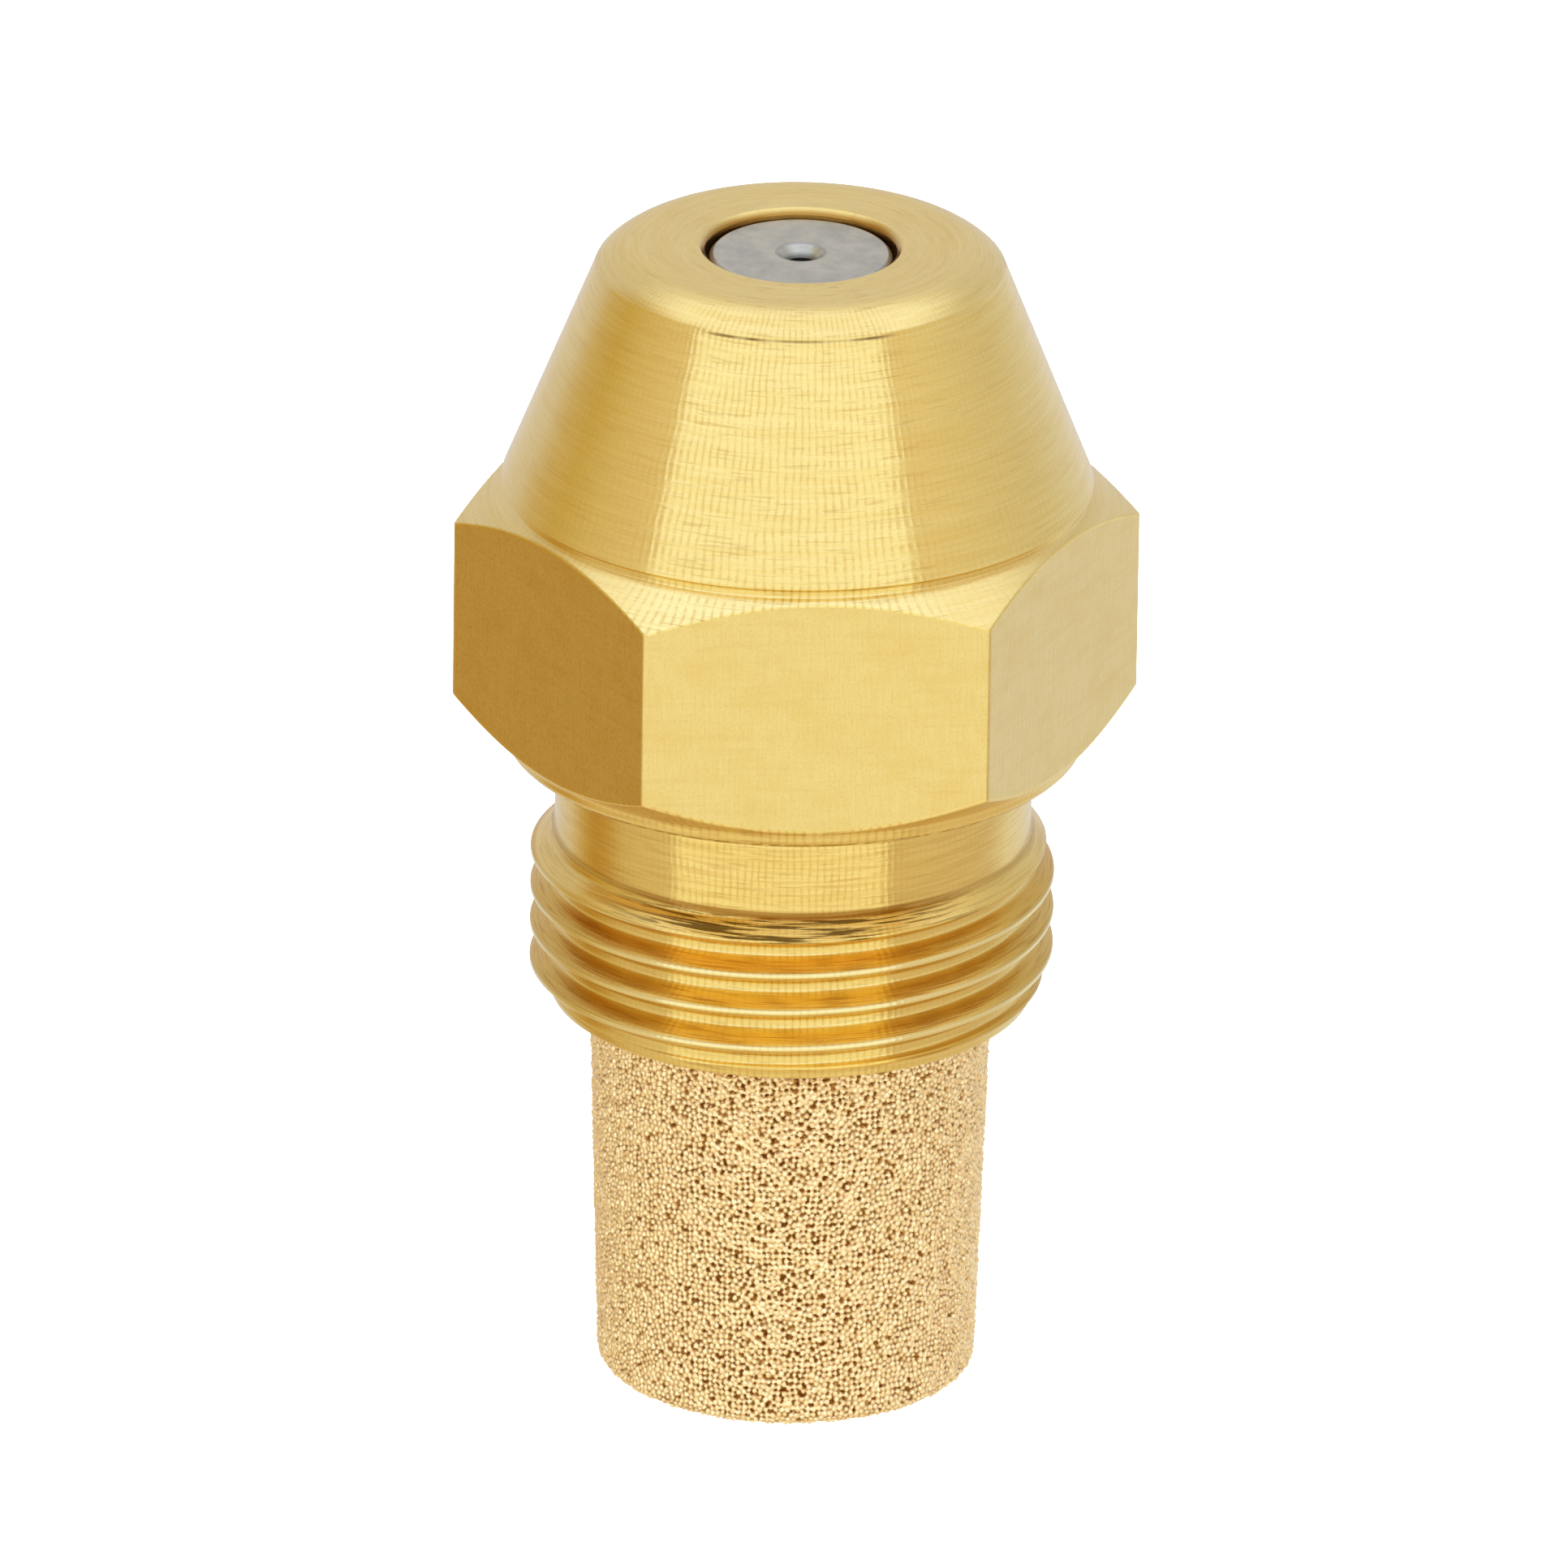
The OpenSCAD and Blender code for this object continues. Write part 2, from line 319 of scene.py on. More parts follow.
def make_body(turned, drawn):
    """The brass body, with a thread that climbs and the hexagon's flats in their own material."""
    angles = body_angles()
    rows, is_flat = body_rows(angles)
    piece = lathe("nozzle_body_cut", rows, angles, [turned, drawn], row_material=is_flat)
    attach(piece, "nozzle_body")
    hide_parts("nozzle_body")


# ---------------------------------------------------------------- orifice disc
ORIFICE_R, COUNTERSINK_R = 0.35, 0.645
SEAT_TIP_Z, SEAT_R = 30.75, 2.9
SPIGOT_R, SPIGOT_BEVEL = 2.46, 0.12
DISC_EDGE = 0.03             # round on the disc's edges


def make_disc(steel):
    """The steel disc with its countersunk spray hole and, behind, its conical seat."""
    low, high = (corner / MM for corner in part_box("orifice_disc"))
    outline = [
        (COUNTERSINK_R, high.z),
        (ORIFICE_R, high.z - (COUNTERSINK_R - ORIFICE_R)),
        (ORIFICE_R, SEAT_TIP_Z),
        (SEAT_R, low.z),
        (high.x, low.z),
        (high.x, LIP_Z),
        (SPIGOT_R, LIP_Z),
        (SPIGOT_R, high.z - SPIGOT_BEVEL),
        (SPIGOT_R - SPIGOT_BEVEL, high.z),
    ]
    rows = rounded(outline, {i: DISC_EDGE for i in range(len(outline))}, closed=True)
    angles = np.linspace(0, 2 * math.pi, 181)
    piece = lathe("orifice_disc_ground", rows, angles, [steel])
    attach(piece, "orifice_disc")
    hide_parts("orifice_disc")


# ---------------------------------------------------------------- sintered filter
BEAD_SPACING = 0.168
BEAD_STEP = 0.036            # distance between the mesh's points on the beads
BEAD_R = (0.074, 0.1)
BEAD_LIFT = (-0.036, 0.022)
BEAD_APART = 1.01            # distance the beads are pushed apart to, in spacings
PUSH_ROUNDS, PUSH_SHARE = 24, 0.24
UNDER_DEPTH = 0.08           # depth of the second layer of beads
GAP_DEPTH = 0.2
FACE_ROWS = 60
FILTER_END_R, FILTER_EDGE_R = 5.12, 0.35
FILTER_FLOOR, CAVITY_R, PLUG_R, PLUG_LOW_Z = 1.6, 3.9, 4.2, 7.5


def bead_offsets(shape, spacing, rng):
    """Random places for one bead in each cell of a grid, pushed apart until few overlap much.
    Gives the offsets from the cells' corners, along and around."""
    along, around = rng.uniform(0, spacing, shape), rng.uniform(0, spacing, shape)
    near = [(i, j) for i in (-2, -1, 0, 1, 2) for j in (-2, -1, 0, 1, 2) if (i, j) != (0, 0)]
    for _ in range(PUSH_ROUNDS):
        push_along, push_around = np.zeros(shape), np.zeros(shape)
        for i, j in near:
            away_along = along - np.roll(along, (-i, -j), (0, 1)) - i * spacing
            away_around = around - np.roll(around, (-i, -j), (0, 1)) - j * spacing
            apart = np.hypot(away_along, away_around) + 1e-9
            push = np.maximum(spacing * BEAD_APART - apart, 0) / apart * PUSH_SHARE
            push_along += away_along * push
            push_around += away_around * push
        along, around = along + push_along, around + push_around
    return along, around


def bead_layer(along, around, turn_length, seed, depth):
    """Height of a layer of beads over the skin, at points given by their distance along the outline and
    around it, in millimetres. The layer closes round the filter."""
    rng = np.random.default_rng(seed)
    per_turn = round(turn_length / BEAD_SPACING)
    spacing = turn_length / per_turn
    low_row = math.floor(along.min() / spacing) - 3
    row_count = math.ceil(along.max() / spacing) + 4 - low_row
    shape = (row_count, per_turn)
    place_along, place_around = bead_offsets(shape, spacing, rng)
    size = rng.uniform(BEAD_R[0], BEAD_R[1], shape)
    lift = rng.uniform(BEAD_LIFT[0], BEAD_LIFT[1], shape) - depth
    row = np.floor(along / spacing).astype(int)
    column = np.floor(around / spacing).astype(int)
    height = np.full(np.broadcast(along, around).shape, -1.0)
    for row_off in (-2, -1, 0, 1, 2):
        k = row + row_off
        index = k - low_row
        for column_off in (-2, -1, 0, 1, 2):
            j = column + column_off
            wrapped = j % per_turn
            away_along = along - k * spacing - place_along[index, wrapped]
            away_around = around - j * spacing - place_around[index, wrapped]
            radius = size[index, wrapped]
            inside = radius ** 2 - away_along ** 2 - away_around ** 2
            ball = lift[index, wrapped] - radius + np.sqrt(np.maximum(inside, 0))
            height = np.where(inside > 0, np.maximum(height, ball), height)
    return height


def bead_height(along, around, turn_length):
    """The beads on the skin, those seen between them, and the bottom of the gaps."""
    top = bead_layer(along, around, turn_length, 11, 0.0)
    under = bead_layer(along, around, turn_length, 12, UNDER_DEPTH)
    return np.maximum(np.maximum(top, under), -GAP_DEPTH)


def filter_outline():
    """The filter's outside from its rim down to its closed end, as (distance, radius, height, tilt) rows.
    Tilt is the angle of the skin's outward direction below the horizontal."""
    slope = math.atan2(RIM_R - FILTER_END_R, RIM_Z - FILTER_EDGE_R)
    edge_centre = (FILTER_END_R - FILTER_EDGE_R, FILTER_EDGE_R)
    side_length = math.hypot(RIM_R - FILTER_END_R, RIM_Z - FILTER_EDGE_R)
    edge_length = FILTER_EDGE_R * math.pi / 2
    distances = np.arange(0, side_length + edge_length, BEAD_STEP)
    rows = []
    for distance in distances:
        if distance < side_length:
            t = distance / side_length
            radius = RIM_R + (FILTER_END_R - RIM_R) * t
            height = RIM_Z + (FILTER_EDGE_R - RIM_Z) * t
            rows.append((distance, radius, height, slope))
        else:
            tilt = (distance - side_length) / FILTER_EDGE_R
            radius = edge_centre[0] + FILTER_EDGE_R * math.cos(tilt)
            height = edge_centre[1] - FILTER_EDGE_R * math.sin(tilt)
            rows.append((distance, radius, height, tilt))
    return rows


def make_filter(bronze):
    """The filter cup: beads outside, a plain cavity inside."""
    outline = filter_outline()
    turn_length = 2 * math.pi * RIM_R
    columns = round(turn_length / BEAD_STEP / 8) * 8 + 1
    angles = np.linspace(0, 2 * math.pi, columns)
    around = angles / (2 * math.pi) * turn_length
    around[-1] = 0
    inner_r = outline[-1][1]
    face = [(outline[-1][0] + inner_r - radius, radius, 0, math.pi / 2)
            for radius in np.linspace(inner_r - BEAD_STEP, 0, FACE_ROWS)]
    distances = np.array([row[0] for row in outline + face])
    lifts = bead_height(distances[:, None], around[None, :], turn_length)
    rows = []
    for (distance, radius, height, tilt), lift in zip(outline + face, lifts):
        lift = lift * min(1, radius)
        rows.append((radius + lift * math.cos(tilt), height - lift * math.sin(tilt)))
    inside = [(CAVITY_R, FILTER_FLOOR), (CAVITY_R, PLUG_LOW_Z), (PLUG_R, PLUG_LOW_Z),
              (PLUG_R, RIM_Z - 0.02), (RIM_R - 0.15, RIM_Z - 0.02)]
    ones = np.ones(columns)
    rows = [(0 * ones, FILTER_FLOOR * ones)] + [(r * ones, z * ones) for r, z in inside] + rows
    piece = lathe("filter_beads", rows, angles, [bronze], closed=False)
    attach(piece, "filter")
    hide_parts("filter_element")


# ---------------------------------------------------------------- materials
CHATTER_COUNT = 206          # chatter marks in a turn
LIT_STRETCH = (-2.18, -1.2)  # angles between which the brass mirrors the bright panel, at rest


class Nodes:
    """Short ways to add and join shader nodes."""

    def __init__(self, tree):
        self.tree = tree
        tree.nodes.clear()

    def add(self, kind, values=None, **settings):
        node = self.tree.nodes.new(kind)
        for name, value in settings.items():
            setattr(node, name, value)
        for name, value in (values or {}).items():
            self.put(node.inputs[name], value)
        return node

    def put(self, socket, value):
        if isinstance(value, bpy.types.NodeSocket):
            self.tree.links.new(value, socket)
        else:
            socket.default_value = value

    def math(self, operation, *values):
        node = self.add("ShaderNodeMath", operation=operation)
        for socket, value in zip(node.inputs, values):
            self.put(socket, value)
        return node.outputs[0]

    def vector(self, x, y, z):
        return self.add("ShaderNodeCombineXYZ", {"X": x, "Y": y, "Z": z}).outputs[0]

    def noise(self, vector, scale, detail=2.0, roughness=0.5):
        node = self.add("ShaderNodeTexNoise", {"Vector": vector, "Scale": scale, "Detail": detail,
                                               "Roughness": roughness})
        return node.outputs["Fac"]

    def remap(self, value, low, high, out_low, out_high, kind="LINEAR"):
        node = self.add("ShaderNodeMapRange", {"Value": value, "From Min": low, "From Max": high,
                                               "To Min": out_low, "To Max": out_high},
                        interpolation_type=kind)
        return node.outputs[0]

    def mix(self, factor, first, second, blend="MIX"):
        node = self.add("ShaderNodeMix", data_type="RGBA", blend_type=blend)
        self.put(node.inputs[0], factor)
        self.put(node.inputs[6], first)
        self.put(node.inputs[7], second)
        return node.outputs[2]

    def band(self, value, low, high, soft):
        """One between two values and zero outside, with soft ends."""
        rise = self.remap(value, low - soft, low + soft, 0, 1, "SMOOTHSTEP")
        fall = self.remap(value, high - soft, high + soft, 1, 0, "SMOOTHSTEP")
        return self.math("MULTIPLY", rise, fall)

    def ramp(self, value, stops):
        """A colour that changes along a value from 0 to 1. A stop is a pair (place, colour)."""
        node = self.add("ShaderNodeValToRGB", {"Fac": value})
        elements = node.color_ramp.elements
        elements[0].position, elements[0].color = stops[0][0], (*stops[0][1], 1)
        elements[1].position, elements[1].color = stops[-1][0], (*stops[-1][1], 1)
        for place, color in stops[1:-1]:
            elements.new(place).color = (*color, 1)
        return node.outputs[0]

    def bump(self, height, distance, normal=None):
        values = {"Height": height, "Distance": distance, "Strength": 1.0}
        if normal is not None:
            values["Normal"] = normal
        return self.add("ShaderNodeBump", values).outputs[0]

    def turned(self, angle, along, count, fine):
        """Noise drawn out round the axis: count sets how short its marks are, fine how thin."""
        east = self.math("MULTIPLY", self.math("COSINE", angle), count)
        north = self.math("MULTIPLY", self.math("SINE", angle), count)
        return self.noise(self.vector(east, north, self.math("MULTIPLY", along, fine)), 1, 3)

    def cylinder(self):
        """Angle about the axis in radians, distance from it and height, both in millimetres."""
        place = self.add("ShaderNodeTexCoord").outputs["Object"]
        axes = self.add("ShaderNodeSeparateXYZ", {"Vector": place}).outputs
        x, y, z = (self.math("MULTIPLY", axis, 1 / MM) for axis in axes)
        angle = self.math("ARCTAN2", y, x)
        radius = self.math("SQRT", self.math("ADD", self.math("MULTIPLY", x, x), self.math("MULTIPLY", y, y)))
        return x, y, z, angle, radius


def metal(nodes, color, roughness, normal, anisotropic=0.0, rotation=0.0):
    """A metal shader and the output. Where it is anisotropic, its grain runs round the axis."""
    values = {"Base Color": color, "Roughness": roughness, "Metallic": 1.0, "Normal": normal}
    shader = nodes.add("ShaderNodeBsdfPrincipled", values)
    if anisotropic:
        tangent = nodes.add("ShaderNodeTangent", direction_type="RADIAL", axis="Z").outputs[0]
        shader.inputs["Anisotropic"].default_value = anisotropic
        shader.inputs["Anisotropic Rotation"].default_value = rotation
        nodes.put(shader.inputs["Tangent"], tangent)
    output = nodes.add("ShaderNodeOutputMaterial")
    nodes.put(output.inputs["Surface"], shader.outputs[0])
    return shader


def new_material(name):
    material = bpy.data.materials.new(name)
    material.use_nodes = True
    return material, Nodes(material.node_tree)


def turned_brass():
    """Lathe-turned brass: fine rings, upright chatter marks, thin scratches and dark streaks on the thread's
    flanks,
    with painted light and shade: a painted highlight on the hexagon's top bevel and on the thread's crests,
    painted reflections that make the flanks deeper orange, a painted shadow under each crest, and painted
    dark reflections and shade in the tool groove, along the neck's foot, on the slope above the thread and on
    the wall round the disc.
    The photo shows the marks where the brass mirrors the bright panel, so they are strong on that stretch and
    faint on the rest. The flanks are painted darker off that stretch."""
    material, nodes = new_material("turned_brass")
    x, y, z, angle, radius = nodes.cylinder()
    along = nodes.math("SUBTRACT", z, nodes.math("MULTIPLY", radius, 0.8))
    rings = nodes.turned(angle, along, 1.5, 7)
    streak = nodes.turned(angle, along, 5, 18)
    lines = nodes.remap(nodes.turned(angle, along, 3, 13), 0.36, 0.54, 1, 0)
    scratch = nodes.remap(nodes.turned(angle, along, 6, 12), 0.34, 0.42, 1, 0)
    grain = nodes.noise(nodes.vector(x, y, z), 14, 3, 0.8)

    uneven = nodes.math("MULTIPLY", nodes.turned(angle, along, 6, 0.6), 9)
    phase = nodes.math("ADD", nodes.math("MULTIPLY", angle, CHATTER_COUNT), uneven)
    in_front = nodes.band(angle, *LIT_STRETCH, 0.12)
    strength = nodes.remap(nodes.turned(angle, along, 6, 4), 0.35, 0.65, 0.2, 1.3)
    strength = nodes.math("MULTIPLY", strength, nodes.remap(in_front, 0, 1, 0.2, 1))
    strength = nodes.math("MULTIPLY", strength, nodes.remap(radius, 4.4, 4.9, 0, 1))
    chatter = nodes.math("MULTIPLY", nodes.math("SINE", phase), strength)

    color = nodes.mix(nodes.remap(rings, 0.3, 0.7, 0, 1), (0.95, 0.76, 0.32, 1), (0.9, 0.68, 0.24, 1))
    # Painted highlight: the hexagon's top bevel is painted paler on the stretch that mirrors the bright
    # panel.
    chamfer_highlight = nodes.math("MULTIPLY", nodes.band(z, HEX_HIGH_Z - 0.2, CREASE_LOW, 0.05), in_front)
    color = nodes.mix(nodes.math("MULTIPLY", chamfer_highlight, 0.6), color, (1, 0.88, 0.42, 1))
    # The chatter and scratches are real marks; their darkening is also painted stronger on the lit stretch,
    # as painted reflection contrast, and fainter elsewhere.
    color = nodes.mix(nodes.remap(chatter, 0, 1, 0, 0.52), color, (0.68, 0.42, 0.09, 1))
    on_neck = nodes.band(z, NECK_FOOT_Z, UNDERSIDE[1], 0.1)
    line_depth = nodes.remap(on_neck, 0, 1, 0.1, 0.3)
    color = nodes.mix(nodes.math("MULTIPLY", lines, line_depth), color, (0.6, 0.36, 0.08, 1))
    scratch_depth = nodes.math("MULTIPLY", scratch, nodes.remap(in_front, 0, 1, 0.15, 0.4))
    color = nodes.mix(scratch_depth, color, (0.55, 0.33, 0.09, 1))
    color = nodes.mix(nodes.remap(grain, 0.35, 0.65, 0, 0.2), color, (0.66, 0.48, 0.2, 1))

    outside = nodes.remap(radius, 6.3, 6.4, 0, 1)
    depth = nodes.math("SUBTRACT", CREST_R, radius)
    in_thread = nodes.math("MULTIPLY", nodes.band(z, REAR_Z + 0.3, THREAD_HIGH_Z, 0.05), outside)
    # Painted highlight: a pale line along the thread's crests.
    crest = nodes.math("MULTIPLY", nodes.remap(depth, 0.01, 0.04, 0.6, 0), in_thread)
    color = nodes.mix(crest, color, (1, 0.92, 0.55, 1))
    flank = nodes.math("MULTIPLY", nodes.remap(depth, 0.03, 0.08, 0, 1), nodes.remap(depth, 0.4, 0.56, 1, 0))
    flank = nodes.math("MULTIPLY", flank, in_thread)
    # Painted reflection: the flanks are painted deeper orange, for light bounced between them.
    color = nodes.mix(nodes.math("MULTIPLY", flank, 0.85), color, (0.92, 0.63, 0.14, 1))
    # Painted reflection: the upper flanks of the highest turn are painted a deeper orange.
    top_flank_reflection = nodes.math("MULTIPLY", flank, nodes.remap(z, ROOT_FRONT_Z - 0.5, ROOT_FRONT_Z, 0, 0.6))
    color = nodes.mix(top_flank_reflection, color, (0.85, 0.46, 0.06, 1))
    # Painted shade: the flanks are painted darker off the lit stretch.
    side_flank_shade = nodes.math("MULTIPLY", flank, nodes.remap(in_front, 0, 1, 0.6, 0))
    color = nodes.mix(side_flank_shade, color, (0.62, 0.38, 0.08, 1))
    dark_flank = nodes.math("MULTIPLY", flank, nodes.remap(streak, 0.36, 0.5, 0.6, 0))
    color = nodes.mix(dark_flank, color, (0.5, 0.25, 0.04, 1))
    # Painted shadow: a dark line just below each crest.
    crest_shadow_line = nodes.math("MULTIPLY", nodes.band(depth, 0.015, 0.06, 0.012), in_thread)
    color = nodes.mix(nodes.math("MULTIPLY", crest_shadow_line, 0.35), color, (0.4, 0.2, 0.04, 1))

    slope = nodes.math("MULTIPLY", nodes.band(z, THREAD_HIGH_Z + 0.02, NECK_FOOT_Z, 0.06), outside)
    color = nodes.mix(nodes.math("MULTIPLY", slope, 0.5), color, (0.85, 0.58, 0.15, 1))
    # Streaky dark marks on the slope above the thread, painted much stronger near the lit stretch: partly
    # marks, partly painted dark reflection.
    thin = nodes.turned(angle, along, 4, 10)
    near_front = nodes.band(angle, -2.3, -1, 0.3)
    slope_dark_reflection = nodes.math("MULTIPLY", slope, nodes.remap(thin, 0.44, 0.52, 0.95, 0))
    slope_dark_reflection = nodes.math("MULTIPLY", slope_dark_reflection, nodes.remap(near_front, 0, 1, 0.15, 1))
    color = nodes.mix(slope_dark_reflection, color, (0.16, 0.085, 0.015, 1))
    # Painted dark reflection and shade along the crease at the neck's foot, stronger near the lit stretch.
    neck_foot_dark_reflection = nodes.math("MULTIPLY", nodes.band(z, NECK_FOOT_Z - 0.1, NECK_FOOT_Z + 0.08, 0.04), outside)
    neck_foot_dark_reflection = nodes.math("MULTIPLY", neck_foot_dark_reflection, nodes.remap(near_front, 0, 1, 0.35, 0.85))
    color = nodes.mix(neck_foot_dark_reflection, color, (0.36, 0.15, 0.015, 1))

    groove_z = TOP_Z - FRONT_ROUND * (1 - math.sin(math.radians(FRONT_ROUND_END)))
    # Painted dark reflection and shade in the tool groove: a broken dark line, painted only on the lit
    # stretch.
    broken = nodes.remap(nodes.turned(angle, 0.0, 4, 1), 0.42, 0.56, 0.9, 0.3)
    broken = nodes.math("MULTIPLY", broken, nodes.band(angle, -2.1, -1.2, 0.08))
    groove = nodes.math("MULTIPLY", nodes.band(z, groove_z - 0.035, groove_z + 0.03, 0.02), broken)
    groove = nodes.math("MULTIPLY", groove, nodes.remap(radius, 5, 5.1, 0, 1))
    color = nodes.mix(groove, color, (0.2, 0.09, 0.02, 1))

    # Painted shade and dark reflection on the wall inside the hole round the disc.
    opening_wall_shade = nodes.remap(radius, OPENING_R + 0.03, OPENING_R + 0.12, 0.85, 0.1)
    opening_wall_shade = nodes.math("MULTIPLY", opening_wall_shade, nodes.remap(radius, 2.72, 2.74, 1, 0))
    color = nodes.mix(opening_wall_shade, color, (0.4, 0.18, 0.02, 1))

    normal = nodes.bump(chatter, 0.0012 * MM)
    normal = nodes.bump(rings, 0.007 * MM, normal=normal)
    normal = nodes.bump(streak, 0.005 * MM, normal=normal)
    roughness = nodes.remap(grain, 0.3, 0.7, 0.15, 0.23)
    metal(nodes, color, roughness, normal, 0.95, 0.25)
    return material


def drawn_brass():
    """The hexagon's flats, as drawn: matte, with faint lines along the bar and cloudy stains."""
    material, nodes = new_material("drawn_brass")
    x, y, z, angle, _ = nodes.cylinder()
    lines = nodes.noise(nodes.vector(nodes.math("MULTIPLY", x, 16), nodes.math("MULTIPLY", y, 16), z), 1, 4)
    fine = nodes.noise(nodes.vector(x, y, z), 12, 3, 0.7)
    stain = nodes.noise(nodes.vector(x, y, nodes.math("MULTIPLY", z, 1.6)), 0.7, 4, 0.6)
    cross = nodes.turned(angle, z, 3, 5)
    height = nodes.math("ADD", lines, nodes.math("MULTIPLY", fine, 0.7))
    normal = nodes.bump(height, 0.004 * MM)
    color = nodes.mix(nodes.remap(lines, 0.3, 0.7, 0, 1), (0.86, 0.7, 0.33, 1), (0.82, 0.64, 0.28, 1))
    color = nodes.mix(nodes.remap(stain, 0.47, 0.7, 0, 0.36), color, (0.8, 0.54, 0.16, 1))
    color = nodes.mix(nodes.remap(cross, 0.5, 0.72, 0, 0.16), color, (0.7, 0.46, 0.14, 1))
    color = nodes.mix(nodes.remap(fine, 0.3, 0.5, 0.3, 0), color, (0.6, 0.38, 0.1, 1))
    roughness = nodes.remap(fine, 0.3, 0.7, 0.17, 0.27)
    metal(nodes, color, roughness, normal)
    return material


def inner_brass():
    """The screw and bushing: plain turned brass, a little duller."""
    material, nodes = new_material("inner_brass")
    _, _, z, angle, radius = nodes.cylinder()
    drawn_out = nodes.vector(nodes.math("MULTIPLY", angle, 0.5), radius, nodes.math("MULTIPLY", z, 12))
    rings = nodes.noise(drawn_out, 1, 4)
    normal = nodes.bump(rings, 0.006 * MM)
    color = nodes.mix(nodes.remap(rings, 0.3, 0.7, 0, 1), (0.84, 0.6, 0.22, 1), (0.74, 0.5, 0.16, 1))
    metal(nodes, color, nodes.remap(rings, 0.3, 0.7, 0.25, 0.38), normal, 0.5, 0.25)
    return material


def ground_steel(name, light, dark, low, high):
    """Fine-ground stainless steel with faint cloudy marks, and painted shade at the foot and rim of the
    countersink.
    """
    material, nodes = new_material(name)
    x, y, z, _, radius = nodes.cylinder()
    place = nodes.vector(x, y, z)
    grain = nodes.noise(place, 16, 3, 0.7)
    cloud = nodes.noise(place, 1.6, 4, 0.6)
    normal = nodes.bump(grain, 0.003 * MM)
    color = nodes.mix(nodes.remap(cloud, 0.35, 0.65, 0, 1), light, dark)
    color = nodes.mix(nodes.remap(grain, 0.3, 0.7, 0, 0.2), color, (0.3, 0.3, 0.3, 1))
    near_top = nodes.remap(z, 31, 31.1, 0, 1)        # on the disc's face, not on the distributor below it
    # Painted shade round the foot of the countersink, where the spray hole starts.
    pit_foot_shade = nodes.remap(radius, ORIFICE_R + 0.03, ORIFICE_R + 0.13, 0.85, 0)
    pit_foot_shade = nodes.math("MULTIPLY", pit_foot_shade, near_top)
    color = nodes.mix(pit_foot_shade, color, (0.12, 0.12, 0.11, 1))
    # Painted shadow along the countersink's rim.
    pit_rim_shade = nodes.band(radius, COUNTERSINK_R - 0.025, COUNTERSINK_R + 0.055, 0.03)
    pit_rim_shade = nodes.math("MULTIPLY", pit_rim_shade, near_top)
    pit_rim_shade = nodes.math("MULTIPLY", pit_rim_shade, 0.45)
    color = nodes.mix(pit_rim_shade, color, (0.25, 0.24, 0.22, 1))
    metal(nodes, color, nodes.remap(cloud, 0.3, 0.7, low, high), normal)
    return material


def sintered_bronze():
    """Bronze beads: pale gold tops, with painted brown shade in the gaps between them. A little of the light
    is scattered, as it is among so many beads."""
    material, nodes = new_material("sintered_bronze")
    x, y, z, _, radius = nodes.cylinder()
    place = nodes.vector(x, y, z)
    grain = nodes.noise(place, 7, 2)
    cloud = nodes.noise(place, 0.5, 3)
    skin = nodes.remap(z, FILTER_EDGE_R, RIM_Z, FILTER_END_R, RIM_R)
    # Depth below the skin, which runs down the side, round the edge and across the end face
    edge_centre_r = FILTER_END_R - FILTER_EDGE_R
    outward = nodes.math("MAXIMUM", nodes.math("SUBTRACT", radius, edge_centre_r), 0.0)
    downward = nodes.math("MAXIMUM", nodes.math("SUBTRACT", FILTER_EDGE_R, z), 0.0)
    squares = [nodes.math("MULTIPLY", length, length) for length in (outward, downward)]
    from_centre = nodes.math("SQRT", nodes.math("ADD", *squares))
    deep = nodes.math("SUBTRACT", nodes.math("SUBTRACT", skin, edge_centre_r), from_centre)
    normal = nodes.bump(nodes.noise(place, 9, 2), 0.03 * MM)
    color = nodes.mix(nodes.remap(grain, 0.35, 0.65, 0, 1), (0.93, 0.77, 0.48, 1), (0.8, 0.58, 0.29, 1))
    color = nodes.mix(nodes.remap(cloud, 0.4, 0.7, 0, 0.25), color, (0.88, 0.64, 0.38, 1))
    # Painted shade: beads lying deep below the skin, in the gaps, are painted dark brown.
    color = nodes.mix(nodes.remap(deep, 0.04, 0.11, 0, 1), color, (0.34, 0.14, 0.02, 1))
    shader = metal(nodes, color, nodes.remap(grain, 0.3, 0.7, 0.08, 0.18), normal)
    shader.inputs["Metallic"].default_value = 0.88
    return material


def dress_inner_nodes():
    """Better materials for the pieces inside, which keep the design's own shapes."""
    brass = inner_brass()
    steel = ground_steel("distributor_steel", (0.56, 0.56, 0.57, 1), (0.46, 0.46, 0.48, 1), 0.22, 0.34)
    for node, material in (("swirl_distributor", steel), ("lock_screw", brass), ("filter_bushing", brass)):
        slots = frame["nodes"][node].data.materials
        slots.clear()
        slots.append(material)


# ---------------------------------------------------------------- studio
BACKDROP = (1, 1, 1, 1)      # what is seen straight past the floor's far edge


def make_floor():
    """A plain pale floor, just below the lowest place that the slides let the filter reach. It is kept out
    of the metal's reflections."""
    reach = sum(joint["range_m"][1] for joint in frame["joints"])
    size = 20.0
    mesh = bpy.data.meshes.new("floor")
    corners = [(-size, -size, 0), (size, -size, 0), (size, size, 0), (-size, size, 0)]
    mesh.from_pydata(corners, [], [(0, 1, 2, 3)])
    floor = bpy.data.objects.new("floor", mesh)
    bpy.context.scene.collection.objects.link(floor)
    floor.location.z = -reach - 0.1 * MM
    material, nodes = new_material("pale_floor")
    shader = nodes.add("ShaderNodeBsdfDiffuse", {"Color": (0.93, 0.93, 0.93, 1)})
    output = nodes.add("ShaderNodeOutputMaterial")
    nodes.put(output.inputs["Surface"], shader.outputs[0])
    mesh.materials.append(material)
    floor.visible_glossy = False


def azimuth_stops(*stops):
    """Ramp stops from pairs (azimuth in degrees, colour). Azimuth is zero in front and grows to the right."""
    return [((azimuth + 180) / 360, color) for azimuth, color in stops]


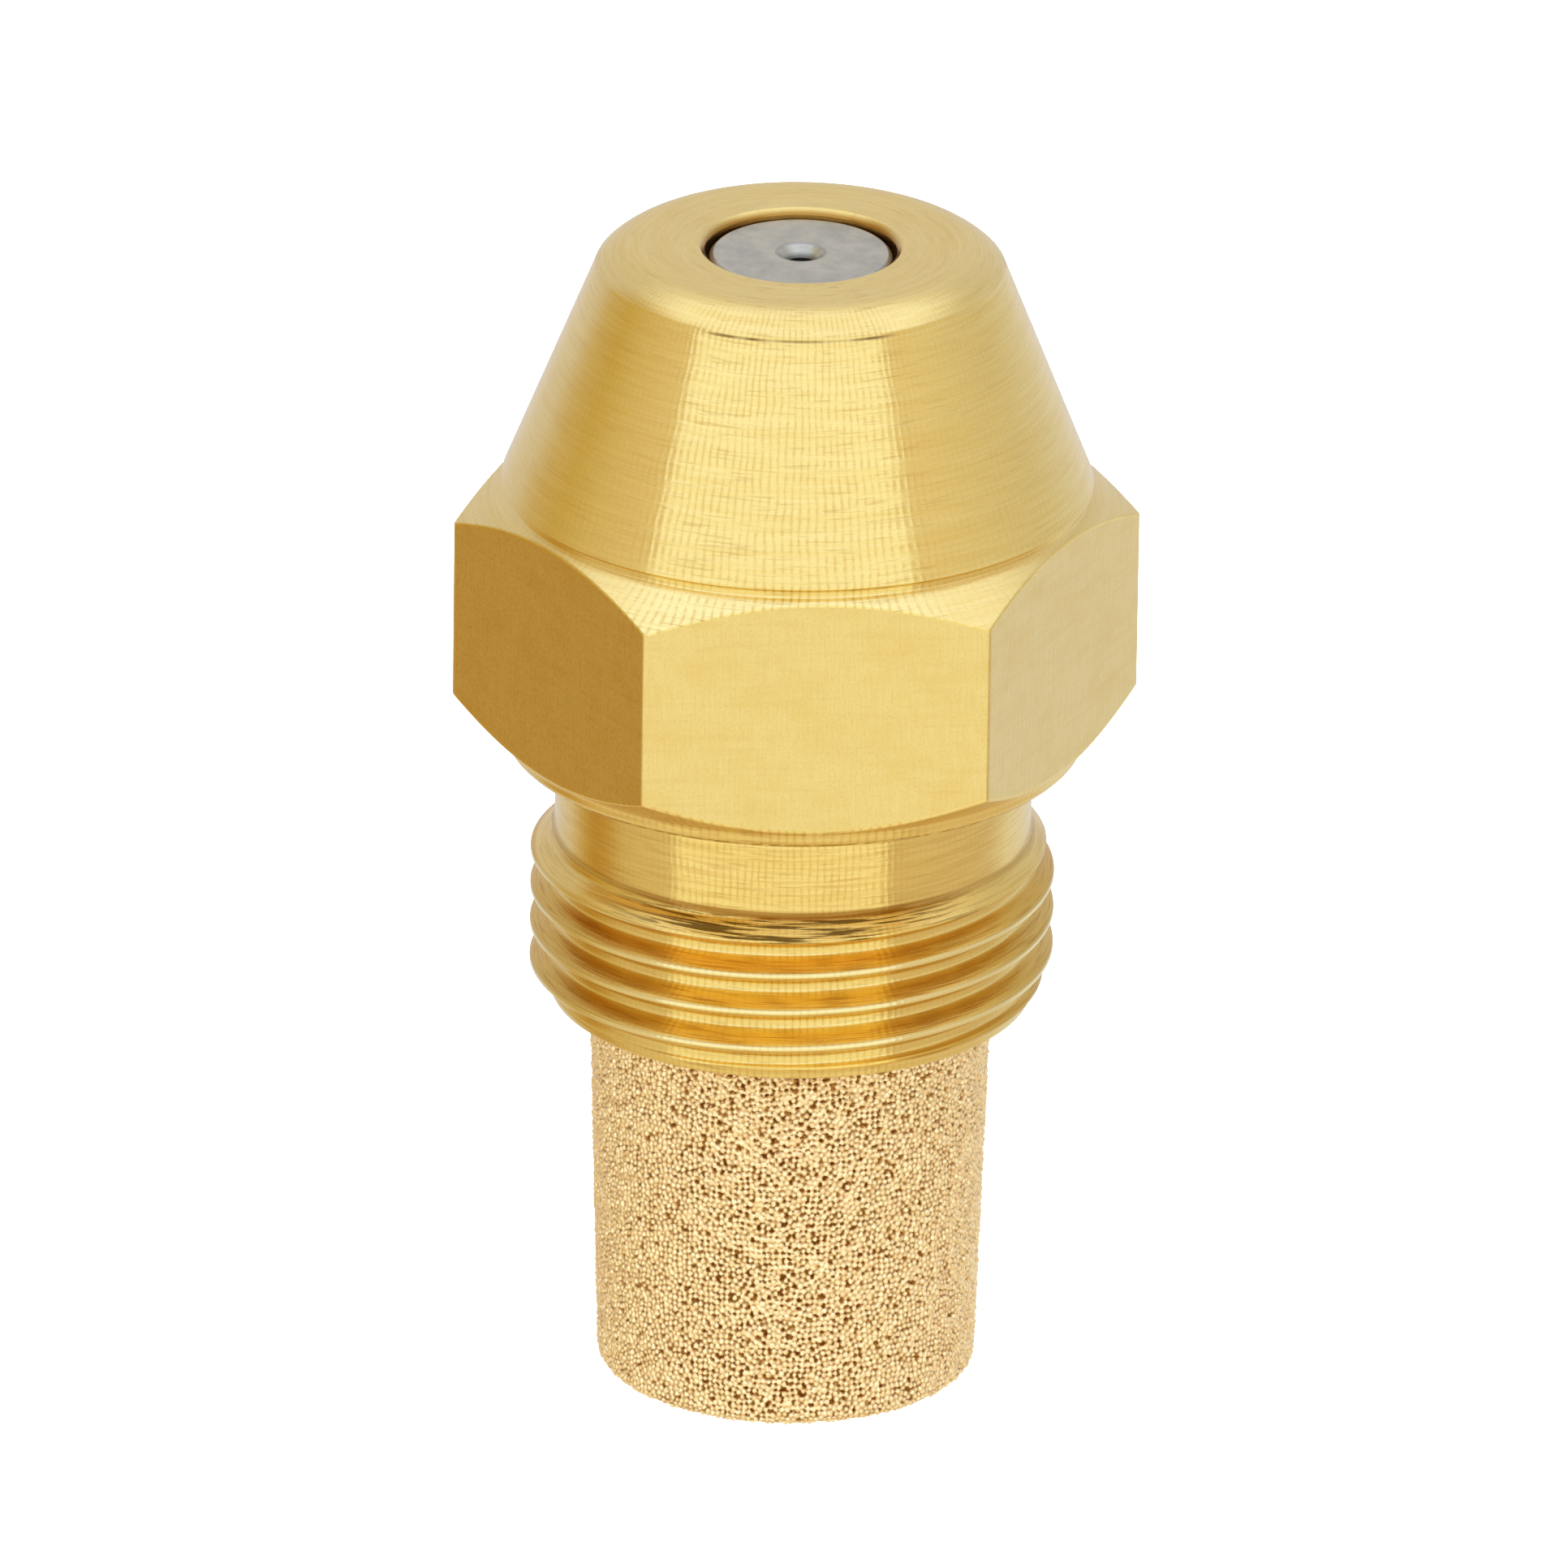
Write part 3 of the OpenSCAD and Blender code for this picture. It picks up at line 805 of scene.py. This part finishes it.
def make_world():
    """A light tent: a bright panel in front with upright edges, warm dim things low on the left and right,
    paler at the back, and a bright ceiling."""
    world = bpy.data.worlds.new("tent")
    bpy.context.scene.world = world
    world.use_nodes = True
    nodes = Nodes(world.node_tree)
    place = nodes.add("ShaderNodeTexCoord").outputs["Generated"]
    axes = nodes.add("ShaderNodeSeparateXYZ", {"Vector": place}).outputs
    azimuth = nodes.math("ARCTAN2", axes[0], nodes.math("MULTIPLY", axes[1], -1))
    azimuth = nodes.math("MULTIPLY", azimuth, 180 / math.pi)
    elevation = nodes.math("MULTIPLY", nodes.math("ARCSINE", axes[2]), 180 / math.pi)
    turn = nodes.remap(azimuth, -180, 180, 0, 1)
    low = nodes.ramp(turn, azimuth_stops(
        (-180, (0.77, 0.76, 0.82)), (-140, (0.72, 0.67, 0.6)), (-127, (0.6, 0.43, 0.17)),
        (-116, (0.5, 0.3, 0.07)), (-105, (0.58, 0.39, 0.14)), (-94, (0.7, 0.57, 0.34)),
        (-64, (0.78, 0.68, 0.46)), (50, (0.74, 0.62, 0.42)), (104, (0.7, 0.6, 0.46)),
        (124, (0.84, 0.85, 0.84)), (180, (0.77, 0.76, 0.82)),
    ))
    middle = nodes.ramp(turn, azimuth_stops(
        (-180, (0.75, 0.72, 0.7)), (-142, (0.69, 0.68, 0.74)), (-126, (0.64, 0.54, 0.36)),
        (-110, (0.62, 0.49, 0.2)), (-92, (0.72, 0.61, 0.37)), (-64, (0.83, 0.74, 0.57)),
        (52, (0.86, 0.79, 0.64)), (100, (0.72, 0.69, 0.62)), (140, (0.7, 0.71, 0.78)),
        (180, (0.75, 0.72, 0.7)),
    ))
    color = nodes.mix(nodes.remap(elevation, -16, 0, 0, 1, "SMOOTHSTEP"), low, middle)
    panel = nodes.mix(nodes.remap(elevation, -16, 8, 0, 1, "SMOOTHSTEP"), (1.06, 1.02, 0.78, 1),
                      (1.12, 1.19, 1.24, 1))
    color = nodes.mix(nodes.band(azimuth, -62.6, 42.6, 0.7), color, panel)
    color = nodes.mix(nodes.remap(elevation, -55, -30, 1, 0, "SMOOTHSTEP"), color, (0.82, 0.68, 0.44, 1))
    ceiling = nodes.remap(elevation, 33, 58, 0, 1, "SMOOTHSTEP")
    color = nodes.mix(ceiling, color, (1.12, 1.19, 1.33, 1))
    seen = nodes.add("ShaderNodeLightPath").outputs["Is Camera Ray"]
    color = nodes.mix(seen, color, BACKDROP)
    background = nodes.add("ShaderNodeBackground", {"Color": color, "Strength": 1.0})
    output = nodes.add("ShaderNodeOutputWorld")
    nodes.put(output.inputs["Surface"], background.outputs[0])


def make_lights():
    """Large soft lights above and at both sides, kept out of the metal's reflections."""
    for name, place, size, energy in (
        ("overhead", (0.05, -0.05, 0.6), 0.5, 8.0),
        ("left", (-0.5, -0.3, 0.2), 0.4, 4.0),
        ("right", (0.5, -0.3, 0.2), 0.4, 4.0),
    ):
        data = bpy.data.lights.new(name, "AREA")
        data.shape = "DISK"
        data.size = size
        data.energy = energy
        light = bpy.data.objects.new(name, data)
        light.location = place
        light.rotation_euler = (-Vector(place)).to_track_quat("-Z", "Y").to_euler()
        bpy.context.scene.collection.objects.link(light)
        light.visible_camera = False
        light.visible_glossy = False


make_camera()
make_world()
make_floor()
make_lights()
make_body(turned_brass(), drawn_brass())
make_disc(ground_steel("ground_steel", (0.62, 0.6, 0.52, 1), (0.48, 0.47, 0.42, 1), 0.28, 0.4))
make_filter(sintered_bronze())
dress_inner_nodes()
bpy.context.scene.view_settings.view_transform = "Standard"
